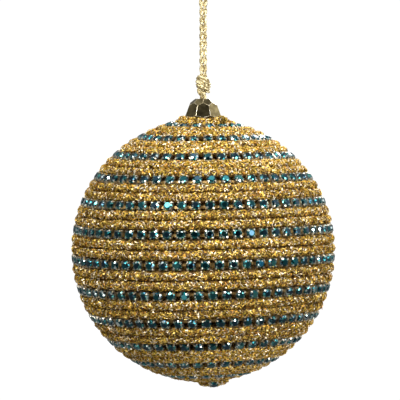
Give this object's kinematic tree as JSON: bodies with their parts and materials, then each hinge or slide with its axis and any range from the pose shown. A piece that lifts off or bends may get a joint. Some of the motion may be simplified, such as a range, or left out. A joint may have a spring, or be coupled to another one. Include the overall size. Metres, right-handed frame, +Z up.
{
  "type": "wound christmas ball ornament",
  "caption": "Hanging ball ornament wound with glittering gold cord and a teal rhinestone chain, with a faceted bead cap and a knotted hanging loop.",
  "frame": {"origin": "the point inside the hanging loop's crown that rests on the hook", "axes": "+Z up along the hanging cord and through the ball's centre, -Y towards the front, where the end stone shows"},
  "size_m": [0.1004, 0.1004, 0.159],
  "materials": {
    "hanging_cord": "twisted metallic thread, pale gold, soft sheen",
    "gold_cord": "fuzzy metallic tinsel yarn, glittering",
    "bead_metal": "antique gold plating, polished facets",
    "teal_glass": "foil-backed cut glass, glossy",
    "cup_metal": "bright pressed metal, pale gold tint",
    "foam": "matt rigid foam with a brown-gold skin, almost hidden"
  },
  "bodies": {
    "hanger": {"hanging_loop": "hanging_cord"},
    "knot": {"hanger_knot": "hanging_cord"},
    "bead": {"faceted_bead": "bead_metal"},
    "ball": {"foam_core": "foam", "gold_cord_upper": "gold_cord", "gold_cord_lower": "gold_cord", "rhinestone_chain": "teal_glass", "bottom_coil": "gold_cord", "end_stone_cup": "cup_metal", "end_stone": "teal_glass", "cord_tail_left": "hanging_cord", "cord_tail_right": "hanging_cord", "anchor_knot": "hanging_cord"}
  },
  "joints": [
    {"name": "loop_fold", "type": "hinge", "parent": "hanger", "child": "knot", "pos_m": [0, 0, -0.0427], "axis": [1, 0, 0], "range_deg": [-110, 110]},
    {"name": "neck_bend", "type": "hinge", "parent": "knot", "child": "bead", "pos_m": [0, 0, -0.0478], "axis": [0, 1, 0], "range_deg": [-40, 40]},
    {"name": "ball_turn", "type": "hinge", "parent": "bead", "child": "ball", "pos_m": [0, 0, -0.1055], "axis": [0, 0, 1], "continuous": true}
  ]
}
